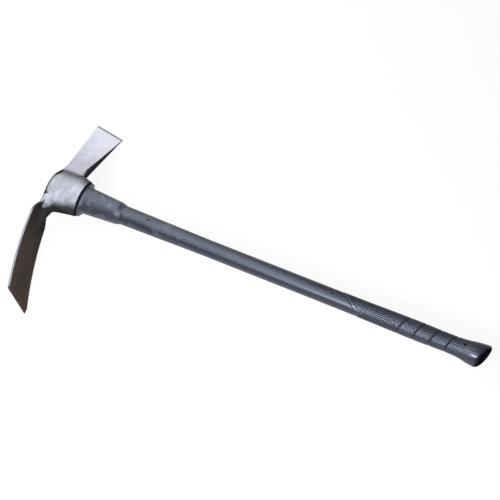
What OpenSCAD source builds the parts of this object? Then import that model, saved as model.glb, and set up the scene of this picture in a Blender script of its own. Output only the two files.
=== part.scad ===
// Cutter mattock: a forged head with an axe blade and an adze blade on a moulded handle.
// X runs along the handle from the top of the eye to the butt, Y points to the axe blade,
// Z is up when the tool lies on its side. The origin is the middle of the eye's top face.

/* [Handle] */
// Length of the whole tool along the handle
tool_length = 914; // [820:1:1050]
// Diameter of the glass-fibre core rod
core_d = 22; // [16:0.5:24]
// Diameter of the jacket along its straight stretch
shaft_d = 33.2; // [31:0.1:34]
// Diameter of the jacket where it leaves the collar
shaft_root_d = 38.4; // [35:0.1:41]
// Length over which the jacket narrows below the collar
shaft_taper_length = 180; // [80:1:240]
// Wall of the jacket that is left under the grip
grip_seat_wall = 2.4; // [1.6:0.1:3]

/* [Eye] */
// Length of the eye along the handle
eye_length = 72.5; // [62:0.5:82]
// Length of the eye's oval at its top face
eye_top_w = 68; // [64:0.5:74]
// Thickness of the eye's oval at its top face
eye_top_t = 48.4; // [46:0.2:54]
// Length of the eye's oval at its grip-side rim
eye_rim_w = 78; // [70:0.5:82]
// Thickness of the eye's oval at its grip-side rim
eye_rim_t = 51; // [48:0.2:58]
// Wall of the eye at its rims
eye_wall = 6.5; // [5:0.1:7]
// How far the cheek on the axe side stands out from the handle axis
axe_cheek_reach = 44; // [42:0.5:48]
// How far the cheek on the adze side stands out from the handle axis
adze_cheek_reach = 50.5; // [46:0.5:54]
// Thickness of the resin between tang and eye
bond_t = 0.8; // [0.4:0.1:1.2]

/* [Axe blade] */
// Distance from the handle axis to the middle of the cutting edge
axe_reach = 153; // [130:0.5:176]
// Length of the cutting edge
axe_edge_w = 64; // [50:0.5:76]
// Angle of the cutting edge to the handle
axe_edge_angle = 9.7; // [0:0.1:14]
// Distance from the eye's top face to the middle of the cutting edge
axe_edge_drop = 51.5; // [40:0.5:60]
// Width of the blade where it leaves the eye
axe_root_w = 35; // [26:0.5:40]
// Distance from the eye's top face to the near edge of the blade's root
axe_root_drop = 11; // [10:0.5:18]
// Thickness of the blade where it leaves the eye
axe_root_t = 17; // [14:0.2:24]
// Thickness of the cutting edge
axe_edge_t = 2; // [1:0.1:4]
// How far the grip-side edge bows out between root and tip
axe_bow = 0.5; // [0:0.1:3]
// How far the blade's root spreads into the eye towards its top face
axe_root_spread = 6; // [0:0.5:8]

/* [Adze blade] */
// Distance from the handle axis to the cutting edge
adze_reach = 244; // [200:1:280]
// Length of the cutting edge
adze_edge_w = 123.5; // [104:0.5:140]
// Width of the blade across its shoulders
adze_shoulder_w = 92; // [80:0.5:108]
// Distance from the handle axis to the shoulders
adze_shoulder_reach = 80; // [72:0.5:90]
// Thickness of the blade
adze_t = 5.1; // [3.5:0.1:7]
// Thickness of the cutting edge
adze_edge_t = 1.4; // [1:0.1:3]
// Length of the bevel behind the cutting edge
adze_bevel_length = 10; // [5:0.5:20]
// Distance from the eye's top face to the blade's outer face at its root
adze_root_drop = 4; // [2:0.1:6]
// Radius of the blade's bend towards the grip
adze_bend_r = 720; // [500:5:1200]
// Angle of the blade to the eye's top face where it leaves the eye
adze_root_angle = 8; // [4:0.5:14]
// Height of the stiffening rib above the blade's inner face
rib_h = 14; // [6:0.5:16]
// Width of the stiffening rib at the eye
rib_w = 34; // [20:0.5:40]
// Distance from the handle axis to the end of the rib
rib_reach = 99; // [92:1:130]

/* [Collar] */
// Gap between the eye's rim and the flange
flange_gap = 2.6; // [1.6:0.1:5]
// Length of the flange's oval
flange_w = 74; // [67:0.5:78]
// Thickness of the flange's oval
flange_t = 50; // [48.5:0.5:56]
// Length of the flange's edge along the handle
flange_edge = 2.6; // [2:0.1:6]
// Length of the hollow curve from flange to cone
flange_fillet = 8.5; // [5:0.5:14]
// Length of the collar from flange to shaft
collar_length = 89; // [72:1:112]
// Length of the cone's oval below the flange
cone_w = 54.5; // [50:0.5:60]
// Thickness of the cone's oval below the flange
cone_t = 47; // [45.5:0.5:49]
// Diameter of the cone's lower end
cone_end_d = 45.2; // [43:0.1:47]
// Length of the step from cone to shaft
collar_step = 11.5; // [6:0.5:14]
// Thickness of the collar's lower lip
collar_lip = 0.7; // [0.4:0.1:1.5]
// How far the jacket's end reaches up into the collar
jacket_tuck = 30; // [15:1:40]

/* [Grip] */
// Length of the grip along the handle's axis
grip_length = 268; // [226:1:306]
// Angle of the grip's slanted start
grip_start_angle = 51; // [0:1:54]
// Diameter of the grip's swell
grip_swell_d = 35.8; // [35:0.1:39]
// Diameter of the waist before the butt
grip_waist_d = 34.2; // [33.4:0.1:36]
// Diameter of the flared butt
butt_d = 47; // [42:0.5:54]
// Length of the flare along the handle
flare_length = 76; // [60:1:80]
// Angle of the slanted butt
butt_slant = 19; // [0:1:22]
// Radius of the butt's rounded edge
butt_edge_r = 6.5; // [3:0.5:8]
// Thickness of the grip over the core's end
butt_wall = 12; // [6:0.5:18]
// Width of each groove
groove_w = 1.8; // [1:0.1:3]
// Depth of each groove
groove_depth = 1.1; // [0.5:0.1:1.5]
// Angle of the grip's grooves
groove_angle = 20; // [0:1:30]
// Distance between the grip's grooves
groove_pitch = 30.6; // [27:0.2:33]
// Number of slanted grooves
groove_count = 4; // [2:1:5]
// Distance from the butt to the nearest groove
groove_setback = 65.5; // [56:0.5:76]

/* [Locating holes] */
// Diameter of the holes that the core's locating pins leave
pin_hole_d = 3.4; // [2:0.1:5]
// Angle of the holes from the upright
pin_hole_angle = 8; // [0:1:30]
// Distance from the eye's top face to the first hole
pin_hole_top = 221; // [190:1:250]
// Distance from the grip's start to the middle hole
pin_hole_middle = 33; // [28:1:60]
// Distance from the butt to the last hole
pin_hole_butt = 38; // [30:0.5:52]

/* [Hidden] */

$fn = 64;
oval_sides = 48;
overrun = 1;

// Edge break around the eye's rims
rim_chamfer = 1.5;
// Edge break around the flange
flange_round = 1.5;
// How far the flare starts inside the grip's outline
flare_sink = 0.1;

// Shares of the eye's length where the axe cheek begins and ends
axe_cheek_shares = [0.2, 0.72];
// Share of the eye's length where the adze cheek is fullest
adze_cheek_share = 0.2;
// Share of the axe blade's thickness that its long edges are broken by
axe_corner_share = 0.12;
// Share of the axe blade's length over which its root spreads
axe_spread_share = 0.2;
// Places across the adze blade, as shares of its half width
adze_across_shares = [-1, -0.5, -0.3, -0.2, -0.1, 0, 0.1, 0.2, 0.3, 0.5, 1];
// Share of the rib's width that is left at its end
rib_tip_share = 0.3;
// Share of the grip's length, from its start, where the swell is fullest
swell_share = 0.52;
// Share of the grip's length, from its start, where the waist is narrowest
waist_share = 0.7;
// Share of the flare's length where it is fullest
flare_full_share = 0.94;

// Places along the handle
flange_x = eye_length + flange_gap;
collar_end_x = flange_x + collar_length;
jacket_start_x = collar_end_x - jacket_tuck;
straight_x = collar_end_x + shaft_taper_length;
grip_start_x = tool_length - grip_length;
core_end_x = tool_length - butt_wall;
flare_x = tool_length - flare_length;

// Half sizes of the round pieces
core_r = core_d / 2;
shaft_r = shaft_d / 2;
shaft_root_r = shaft_root_d / 2;
seat_r = core_r + grip_seat_wall;

// Rises from 0 to 1 with level ends
function ease(u) = let (c = min(max(u, 0), 1)) c * c * (3 - 2 * c);

// Value between two sizes
function between(from, to, u) = from + (to - from) * u;

// Oval across the handle at x, with its own reach on the axe side and the adze side
function oval(x, axe_side, adze_side, half_t) = [
    for (i = [0 : oval_sides - 1])
        let (a = 360 * i / oval_sides)
        [x, (cos(a) > 0 ? axe_side : adze_side) * cos(a), half_t * sin(a)]
];

// Half length and half thickness of the eye's plain taper at x
function eye_half_w(x) = between(eye_top_w, eye_rim_w, x / eye_length) / 2;
function eye_half_t(x) = between(eye_top_t, eye_rim_t, x / eye_length) / 2;

// Reach of the eye's outside on the axe side, with its cheek
function axe_side(x) =
    let (
        from = axe_cheek_shares[0] * eye_length,
        to = axe_cheek_shares[1] * eye_length,
        rise = min(ease(x / from), ease((eye_length - x) / (eye_length - to)))
    )
    between(eye_half_w(x), axe_cheek_reach, rise);

// Reach of the eye's outside on the adze side, with its cheek
function adze_side(x) =
    let (
        full = adze_cheek_share * eye_length,
        rise = x < full ? ease(x / full) : (eye_length - x) / (eye_length - full)
    )
    between(eye_half_w(x), adze_cheek_reach, rise);

// One ring of the eye's outside, drawn in by the edge break
function eye_ring(x, inset) = oval(x, axe_side(x) - inset, adze_side(x) - inset, eye_half_t(x) - inset);

// One ring of the eye's tapered hole, drawn in by the clearance
function hole_ring(x, clearance) =
    let (inset = eye_wall + clearance, w = eye_half_w(x) - inset)
    oval(x, w, w, eye_half_t(x) - inset);

// Triangles of an end face, as a strip between the two halves of the ring that starts at point k
function strip(k, n) = [
    for (i = [0 : n / 2 - 2])
        each [
            [k + i, k + i + 1, k + n - 1 - i],
            [k + i + 1, k + n - 2 - i, k + n - 1 - i]
        ]
];

// Triangles of the band between the ring that starts at point k and the next ring
function band(k, n) = [
    for (i = [0 : n - 1])
        let (j = (i + 1) % n)
        each [
            [k + i, k + n + i, k + j],
            [k + n + i, k + n + j, k + j]
        ]
];

// Solid through a list of rings with the same even number of points each
module loft(rings) {
    n = len(rings[0]);
    last = len(rings) - 1;
    polyhedron(
        points = [for (ring = rings) each ring],
        faces = concat(
            strip(0, n),
            [for (f = strip(last * n, n)) [f[2], f[1], f[0]]],
            [for (j = [0 : last - 1]) each band(j * n, n)]
        )
    );
}

// Turns a solid made along Z so that it lies along the handle
module along_handle(x) {
    translate([x, 0, 0])
        rotate([0, 90, 0])
            children();
}

// Solid of the eye's tapered hole, from one place along the handle to another
module tapered_plug(from, to, clearance) {
    loft([hole_ring(from, clearance), hole_ring(to, clearance)]);
}

// The eye without its hole
module eye_body() {
    steps = 16;
    loft(concat(
        [eye_ring(0, rim_chamfer)],
        [for (i = [0 : steps]) eye_ring(between(rim_chamfer, eye_length - rim_chamfer, i / steps), 0)],
        [eye_ring(eye_length, rim_chamfer)]
    ));
}

// One section of the axe blade at share u of the way from root to edge
function axe_section(u) =
    let (
        root = eye_half_w(axe_root_drop),
        edge_x = cos(axe_edge_angle) * axe_edge_w / 2,
        edge_y = sin(axe_edge_angle) * axe_edge_w / 2,
        bow = axe_bow * sin(180 * u),
        spread = axe_root_spread * pow(max(0, 1 - u / axe_spread_share), 2),
        x0 = between(axe_root_drop, axe_edge_drop - edge_x, u) - spread,
        x1 = between(axe_root_drop + axe_root_w, axe_edge_drop + edge_x, u) + bow,
        y0 = between(root, axe_reach + edge_y, u),
        y1 = between(root, axe_reach - edge_y, u),
        t = between(axe_root_t, axe_edge_t, u),
        h = t / 2,
        c = t * axe_corner_share
    )
    [
        [x0 + c, y0, -h],
        [x0, y0, c - h],
        [x0, y0, h - c],
        [x0 + c, y0, h],
        [x1 - c, y1, h],
        [x1, y1, h - c],
        [x1, y1, c - h],
        [x1 - c, y1, -h]
    ];

// The axe blade
module axe_blade() {
    steps = 8;
    loft([for (i = [0 : steps]) axe_section(i / steps)]);
}

// Half width of the adze blade at a distance from the handle axis
function adze_half_w(reach) =
    let (neck = adze_cheek_reach - adze_t)
    reach < adze_shoulder_reach
        ? between(
            eye_half_t(0) - rim_chamfer,
            adze_shoulder_w / 2,
            sin(90 * max(0, reach - neck) / (adze_shoulder_reach - neck))
        )
        : between(
            adze_shoulder_w,
            adze_edge_w,
            (reach - adze_shoulder_reach) / (adze_reach - adze_shoulder_reach)
        ) / 2;

// Slope and drop of the adze's outer face at a distance from the handle axis
function adze_slope(reach) =
    reach < adze_cheek_reach ? 0 : tan(adze_root_angle) + (reach - adze_cheek_reach) / adze_bend_r;
function adze_drop(reach) =
    let (out = max(0, reach - adze_cheek_reach))
    adze_root_drop + out * (tan(adze_root_angle) + out / adze_bend_r / 2);

// Thickness of the adze blade at a distance from the handle axis
function adze_thickness(reach) =
    between(adze_edge_t, adze_t, min(1, (adze_reach - reach) / adze_bevel_length));

// Rise of the rib above the inner face
function rib_rise(reach, z) =
    let (
        along = min(1, max(0, (rib_reach - reach) / (rib_reach - adze_cheek_reach))),
        across = max(0, 1 - abs(z) / (rib_w * between(rib_tip_share, 1, along) / 2))
    )
    rib_h * along * ease(across);

// One section of the adze blade at a distance from the handle axis
function adze_section(reach) =
    let (
        a = atan(adze_slope(reach)),
        w = adze_half_w(reach),
        x = adze_drop(reach),
        t = adze_thickness(reach),
        n = len(adze_across_shares) - 1
    )
    concat(
        [for (i = [n : -1 : 0]) [x, -reach, w * adze_across_shares[i]]],
        [
            for (i = [0 : n])
                let (z = w * adze_across_shares[i], h = t + rib_rise(reach, z))
                [x + h * cos(a), h * sin(a) - reach, z]
        ]
    );

// The adze blade, from inside the cheek to its edge
module adze_blade() {
    root = eye_half_w(0) - eye_wall;
    root_steps = 10;
    blade_steps = 12;
    bevel = adze_reach - adze_bevel_length;
    loft(concat(
        [for (i = [0 : root_steps]) adze_section(between(root, adze_shoulder_reach, i / root_steps))],
        [for (i = [1 : blade_steps]) adze_section(between(adze_shoulder_reach, bevel, i / blade_steps))],
        [adze_section(adze_reach)]
    ));
}

// Forged head with its eye
module mattock_head() {
    color("lightslategray")
        difference() {
            union() {
                eye_body();
                axe_blade();
                adze_blade();
            }
            tapered_plug(-overrun, eye_length + overrun, 0);
        }
}

// Resin between the tang and the eye
module eye_bond() {
    color("khaki")
        difference() {
            tapered_plug(0, eye_length, 0);
            tapered_plug(-overrun, eye_length + overrun, bond_t);
        }
}

// One ring of the collar's outside, as a round or an oval
function collar_ring(x, w, t) = oval(x, w / 2, w / 2, t / 2);

// Rings of the hollow curve from flange to cone
function fillet_rings() =
    let (steps = 5, from = flange_x + flange_edge)
    [
        for (i = [1 : steps])
            let (u = i / steps, drop = sin(90 * u))
            collar_ring(
                from + flange_fillet * (1 - cos(90 * u)),
                between(flange_w, cone_w, drop),
                between(flange_t, cone_t, drop)
            )
    ];

// Moulded tang, flange and cone
module eye_collar() {
    inset = 2 * flange_round;
    lip_d = shaft_root_d + 2 * collar_lip;
    color("dimgray")
        difference() {
            loft(concat(
                [hole_ring(0, bond_t), hole_ring(flange_x, bond_t)],
                [
                    collar_ring(flange_x, flange_w - inset, flange_t - inset),
                    collar_ring(flange_x + flange_round, flange_w, flange_t),
                    collar_ring(flange_x + flange_edge, flange_w, flange_t)
                ],
                fillet_rings(),
                [
                    collar_ring(collar_end_x - collar_step, cone_end_d, cone_end_d),
                    collar_ring(collar_end_x, lip_d, lip_d)
                ]
            ));
            along_handle(-overrun)
                cylinder(h = collar_end_x + 2 * overrun, r = core_r);
            along_handle(jacket_start_x)
                cylinder(h = jacket_tuck + overrun, r = shaft_root_r);
        }
}

// Glass-fibre rod
module fibreglass_core() {
    color("goldenrod")
        along_handle(0)
            cylinder(h = core_end_x, r = core_r);
}

// Thin slab across the handle, turned by an angle about the upright
module slanted_slab(x, angle, thickness, reach) {
    translate([x, 0, 0])
        rotate([0, 0, angle])
            translate([-thickness / 2, -reach, -reach])
                cube([thickness, 2 * reach, 2 * reach]);
}

// Everything on the butt side of a slanted cut
module beyond_cut(x, angle) {
    translate([x, 0, 0])
        rotate([0, 0, angle])
            translate([0, -tool_length, -tool_length])
                cube([2 * tool_length, 2 * tool_length, 2 * tool_length]);
}

// Hole that a locating pin leaves, down to the core on both sides
module pin_hole(x) {
    translate([x, 0, 0])
        rotate([-pin_hole_angle, 0, 0])
            cylinder(h = 2 * butt_d, d = pin_hole_d, center = true);
}

// Moulded tube around the core
module shaft_jacket() {
    slant_reach = shaft_d * tan(grip_start_angle);
    color("darkslategray")
        difference() {
            union() {
                difference() {
                    rotate([0, 90, 0])
                        rotate_extrude()
                            polygon([
                                [core_r, jacket_start_x],
                                [shaft_root_r, jacket_start_x],
                                [shaft_root_r, collar_end_x],
                                [shaft_r, straight_x],
                                [shaft_r, grip_start_x + slant_reach],
                                [core_r, grip_start_x + slant_reach]
                            ]);
                    beyond_cut(grip_start_x, grip_start_angle);
                }
                along_handle(jacket_start_x)
                    difference() {
                        cylinder(h = core_end_x - jacket_start_x, r = seat_r);
                        translate([0, 0, -overrun])
                            cylinder(h = tool_length, r = core_r);
                    }
            }
            pin_hole(pin_hole_top);
            pin_hole(grip_start_x - pin_hole_middle);
            pin_hole(tool_length - pin_hole_butt);
        }
}

// Radius of the grip at x, before the flare
function grip_r(x) =
    let (
        u = (x - grip_start_x) / grip_length,
        swell = ease(u / swell_share),
        waist = ease((u - swell_share) / (waist_share - swell_share))
    )
    between(between(shaft_d, grip_swell_d, swell), grip_waist_d, waist) / 2;

// One ring of the flared butt at share u of the flare's length
function flare_ring(u) =
    let (
        lean = tan(butt_slant) * ease(u),
        x = between(flare_x, tool_length, u),
        r = between(grip_waist_d / 2 - flare_sink, butt_d / 2, pow(ease(u / flare_full_share), 2)),
        from_end = flare_length * (1 - u),
        sunk = max(0, butt_edge_r - from_end),
        edge = butt_edge_r - sqrt(max(0, butt_edge_r * butt_edge_r - sunk * sunk))
    )
    [
        for (i = [0 : oval_sides - 1])
            let (a = 360 * i / oval_sides, y = (r - edge) * cos(a))
            [x + y * lean, y, (r - edge) * sin(a)]
    ];

// The flared butt
module flared_butt() {
    steps = 14;
    edge_steps = 4;
    edge_from = 1 - butt_edge_r / flare_length;
    loft(concat(
        [for (i = [0 : steps]) flare_ring(edge_from * i / steps)],
        [for (i = [1 : edge_steps]) flare_ring(between(edge_from, 1, sin(90 * i / edge_steps)))]
    ));
}

// The grip's round body, cut off at its slanted start
module grip_body() {
    steps = 24;
    reach = grip_swell_d * tan(grip_start_angle) / 2;
    from = grip_start_x - reach;
    difference() {
        rotate([0, 90, 0])
            rotate_extrude()
                polygon(concat(
                    [[0, from]],
                    [
                        for (i = [0 : steps])
                            let (x = between(from, flare_x, i / steps))
                            [grip_r(x), x]
                    ],
                    [[0, flare_x]]
                ));
        mirror([1, 0, 0])
            beyond_cut(-grip_start_x, -grip_start_angle);
    }
}

// Slanted grooves around the grip
module grip_grooves() {
    for (i = [0 : groove_count - 1]) {
        x = tool_length - groove_setback - i * groove_pitch;
        difference() {
            slanted_slab(x, -groove_angle, groove_w, butt_d);
            along_handle(0)
                cylinder(h = tool_length, r = grip_waist_d / 2 - groove_depth);
        }
    }
}

// Soft textured grip with the flared butt
module grip_sleeve() {
    color("black")
        difference() {
            union() {
                grip_body();
                flared_butt();
            }
            along_handle(0)
                cylinder(h = core_end_x, r = seat_r);
            grip_grooves();
            pin_hole(tool_length - pin_hole_butt);
        }
}

mattock_head();
eye_bond();
eye_collar();
fibreglass_core();
shaft_jacket();
grip_sleeve();
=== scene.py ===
"""Looks of a cutter mattock: a forged steel head, a moulded collar and shaft, and a knurled grip."""

import logging
import math
from dataclasses import dataclass
from enum import Enum
from itertools import product
from typing import Callable, Dict, List, Optional, Sequence, Tuple, Union

import bpy
import numpy as np
from mathutils import Matrix, Vector


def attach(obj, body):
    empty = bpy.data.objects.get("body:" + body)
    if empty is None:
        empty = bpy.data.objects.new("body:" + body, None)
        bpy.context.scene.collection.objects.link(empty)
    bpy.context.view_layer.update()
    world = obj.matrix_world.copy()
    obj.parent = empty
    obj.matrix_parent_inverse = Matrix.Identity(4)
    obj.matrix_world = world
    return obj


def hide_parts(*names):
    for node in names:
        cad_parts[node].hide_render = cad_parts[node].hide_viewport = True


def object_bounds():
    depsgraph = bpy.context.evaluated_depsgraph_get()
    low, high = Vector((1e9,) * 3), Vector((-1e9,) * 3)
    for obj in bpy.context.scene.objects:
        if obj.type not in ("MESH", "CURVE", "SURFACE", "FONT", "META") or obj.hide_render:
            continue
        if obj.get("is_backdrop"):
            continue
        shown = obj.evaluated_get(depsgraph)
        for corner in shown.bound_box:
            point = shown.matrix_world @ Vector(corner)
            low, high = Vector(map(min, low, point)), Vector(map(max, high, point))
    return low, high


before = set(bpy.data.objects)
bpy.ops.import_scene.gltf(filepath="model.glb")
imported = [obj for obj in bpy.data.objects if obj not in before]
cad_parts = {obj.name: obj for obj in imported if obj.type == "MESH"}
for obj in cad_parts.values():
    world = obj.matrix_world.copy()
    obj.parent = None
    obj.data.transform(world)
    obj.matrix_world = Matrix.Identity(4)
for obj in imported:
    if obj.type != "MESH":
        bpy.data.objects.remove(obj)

LOG = logging.getLogger("mattock")
MM = 0.001
TINY = 1e-6
UP = 2
BODY = "root"

Array = np.ndarray
Values = Union[float, np.ndarray]
Colour = Tuple[float, float, float]
Point = Tuple[float, float, float]
Span = Tuple[float, float]
Faces = List[Tuple[int, ...]]
Field = Callable[[Array, Array, Array], Array]
SocketKey = Union[int, str]


def ease(u: Values) -> Values:
    """Rises from 0 to 1 with level ends.

    Args:
        u: Share of the way, clipped to 0 and 1.

    Returns:
        The eased share.
    """
    c = np.clip(u, 0.0, 1.0)
    return c * c * (3.0 - 2.0 * c)


def between(start: Values, end: Values, u: Values) -> Values:
    """The value at share u of the way from start to end."""
    return start + (end - start) * u


def quarter(count: int) -> Array:
    """Even steps through a quarter turn, in radians."""
    return np.radians(np.linspace(0, 90, count))


def smooth_max(a: Array, b: Array, reach: float) -> Array:
    """The larger of two fields, rounded where they are within reach of each other.

    Args:
        a: First field.
        b: Second field.
        reach: Width of the rounding, in millimetres.

    Returns:
        The rounded maximum.
    """
    h = np.clip(0.5 + 0.5 * (a - b) / reach, 0.0, 1.0)
    return between(b, a, h) + reach * h * (1.0 - h)


def smooth_min(a: Array, b: Array, reach: float) -> Array:
    """The smaller of two fields, filleted where they are within reach of each other."""
    return -smooth_max(-a, -b, reach)


class Wire:
    """A socket that sums, products and comparisons can be written on."""

    def __init__(self, sheet: "ShaderSheet", socket: bpy.types.NodeSocket) -> None:
        """Wraps a socket of a sheet."""
        self.sheet = sheet
        self.socket = socket

    def _maths(self, operation: str, first: "Operand", second: "Operand") -> "Wire":
        """Adds one Math node and returns its result."""
        return self.sheet.node("ShaderNodeMath", {"operation": operation}, {0: first, 1: second})

    def __add__(self, other: "Operand") -> "Wire":
        """Sum."""
        return self._maths("ADD", self, other)

    def __radd__(self, other: "Operand") -> "Wire":
        """Sum with the number first."""
        return self._maths("ADD", other, self)

    def __sub__(self, other: "Operand") -> "Wire":
        """Difference."""
        return self._maths("SUBTRACT", self, other)

    def __rsub__(self, other: "Operand") -> "Wire":
        """Difference with the number first."""
        return self._maths("SUBTRACT", other, self)

    def __mul__(self, other: "Operand") -> "Wire":
        """Product."""
        return self._maths("MULTIPLY", self, other)

    def __rmul__(self, other: "Operand") -> "Wire":
        """Product with the number first."""
        return self._maths("MULTIPLY", other, self)

    def __truediv__(self, other: "Operand") -> "Wire":
        """Quotient."""
        return self._maths("DIVIDE", self, other)

    def __rtruediv__(self, other: "Operand") -> "Wire":
        """Quotient with the number first."""
        return self._maths("DIVIDE", other, self)

    def at_most(self, limit: "Operand") -> "Wire":
        """The smaller of this and a limit."""
        return self._maths("MINIMUM", self, limit)

    def size(self) -> "Wire":
        """The value without its sign."""
        return self._maths("ABSOLUTE", self, 0.0)

    def part(self) -> "Wire":
        """The value without its whole number."""
        return self._maths("FRACT", self, 0.0)

    def turn_from(self, other: "Operand") -> "Wire":
        """Angle of a point with this height over the other length."""
        return self._maths("ARCTAN2", self, other)

    def ramp(self, low: float, high: float) -> "Wire":
        """Rises smoothly from 0 at low to 1 at high.

        Args:
            low: Value that gives 0.
            high: Value that gives 1; it may lie below low.

        Returns:
            The eased share.
        """
        return self.sheet.node(
            "ShaderNodeMapRange",
            {"interpolation_type": "SMOOTHSTEP"},
            {"Value": self, "From Min": low, "From Max": high},
        )

    def rise(self, span: Span, unit: float = 1.0, base: float = 0.0) -> "Wire":
        """Rises smoothly from 0 to 1 over a span.

        Args:
            span: Where it is 0 and where it is 1.
            unit: What the span is counted in.
            base: Where the span is counted from.

        Returns:
            The eased share.
        """
        return self.ramp(base + span[0] * unit, base + span[1] * unit)


Operand = Union[Wire, float]
SocketValue = Union[Wire, float, Sequence[float]]


class ShaderSheet:
    """The node sheet of one material."""

    def __init__(self, name: str) -> None:
        """Starts a material with an empty sheet.

        Args:
            name: Name of the material.
        """
        self.material = bpy.data.materials.new(name)
        self.material.use_nodes = True
        self.tree = self.material.node_tree
        self.tree.nodes.clear()

    def node(
        self,
        kind: str,
        settings: Dict[str, object],
        sockets: Dict[SocketKey, SocketValue],
        out: SocketKey = 0,
    ) -> Wire:
        """Adds one node.

        Args:
            kind: Blender's name for the node's type.
            settings: The node's own settings.
            sockets: Values or wires for the node's inputs.
            out: The output that is returned.

        Returns:
            The wire of that output, or of the first input where there is no output.
        """
        made = self.tree.nodes.new(kind)
        for key, value in settings.items():
            setattr(made, key, value)
        for key, value in sockets.items():
            if isinstance(value, Wire):
                self.tree.links.new(value.socket, made.inputs[key])
            else:
                made.inputs[key].default_value = value
        return Wire(self, made.outputs[out] if len(made.outputs) else made.inputs[0])

    def place(self) -> Wire:
        """The point on the object, in metres in the part's frame."""
        return self.node("ShaderNodeTexCoord", {}, {}, "Object")

    def parts(self, vector: Wire) -> Tuple[Wire, Wire, Wire]:
        """A vector's three components.

        Args:
            vector: The vector.

        Returns:
            Its X, Y and Z.
        """
        first = self.node("ShaderNodeSeparateXYZ", {}, {0: vector})
        outs = first.socket.node.outputs
        return first, Wire(self, outs[1]), Wire(self, outs[2])

    def normal(self) -> Tuple[Wire, Wire, Wire]:
        """The X, Y and Z of the direction that the surface faces."""
        return self.parts(self.node("ShaderNodeNewGeometry", {}, {}, "Normal"))

    def noise(self, where: Wire, scale: float, detail: float, rough: float = 0.55) -> Wire:
        """Cloudy noise from 0 to 1.

        Args:
            where: Coordinates.
            scale: Features per metre.
            detail: Octaves.
            rough: Strength of the finer octaves.

        Returns:
            The noise.
        """
        return self.node(
            "ShaderNodeTexNoise",
            {"noise_dimensions": "3D"},
            {"Vector": where, "Scale": scale, "Detail": detail, "Roughness": rough},
        )

    def stretched(self, where: Wire, scale: Sequence[float]) -> Wire:
        """Coordinates scaled on each axis."""
        return self.node("ShaderNodeVectorMath", {"operation": "MULTIPLY"}, {0: where, 1: scale})

    def mix(self, share: Operand, first: SocketValue, second: SocketValue) -> Wire:
        """A colour between two colours.

        Args:
            share: Share of the second colour.
            first: First colour, as a wire or red, green and blue.
            second: Second colour.

        Returns:
            The mixed colour.
        """
        def full(colour: SocketValue) -> SocketValue:
            """A colour with its alpha."""
            return colour if isinstance(colour, Wire) else (*colour, 1.0)

        return self.node(
            "ShaderNodeMix",
            {"data_type": "RGBA", "clamp_factor": True},
            {0: share, 6: full(first), 7: full(second)},
            2,
        )

    def bump(self, height: Wire, distance: float, strength: float = 1.0) -> Wire:
        """A normal that is tilted by a height.

        Args:
            height: The height, from 0 to 1.
            distance: What a height of 1 stands for, in metres.
            strength: Share of the tilt that is used.

        Returns:
            The normal.
        """
        return self.node(
            "ShaderNodeBump",
            {},
            {"Strength": strength, "Distance": distance, "Height": height},
        )

    def principled(self, sockets: Dict[SocketKey, SocketValue]) -> Wire:
        """Adds one Principled shader with values or wires for its inputs."""
        return self.node("ShaderNodeBsdfPrincipled", {}, sockets)

    def layered(self, share: Wire, first: Wire, second: Wire) -> Wire:
        """Lays one shader over another by a share."""
        return self.node("ShaderNodeMixShader", {}, {0: share, 1: first, 2: second})

    def output(self, shader: Wire) -> bpy.types.Material:
        """Ends the sheet in a shader and returns the material."""
        self.node("ShaderNodeOutputMaterial", {}, {"Surface": shader})
        return self.material


class SteelSheet(ShaderSheet):
    """The sheet of the forged steel, with the places, directions and noises that its layers share."""

    def __init__(self, name: str) -> None:
        """Starts the sheet.

        Args:
            name: Name of the material.
        """
        super().__init__(name)
        where = self.place()
        self.x, self.y, _ = self.parts(where)
        self.facing, self.side, self.up = self.normal()
        self.clouds = self.noise(where, 60.0, 4.0)
        self.specks = self.noise(where, 420.0, 3.0, 0.65)
        self.blotches = self.noise(where, 16.0, 3.0)
        brushed = self.noise(self.stretched(where, (900.0, 90.0, 900.0)), 1.0, 2.0)
        self.grain = self.bump(self.specks * 0.6 + brushed * 0.4, 0.00022, 0.5)


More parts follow.
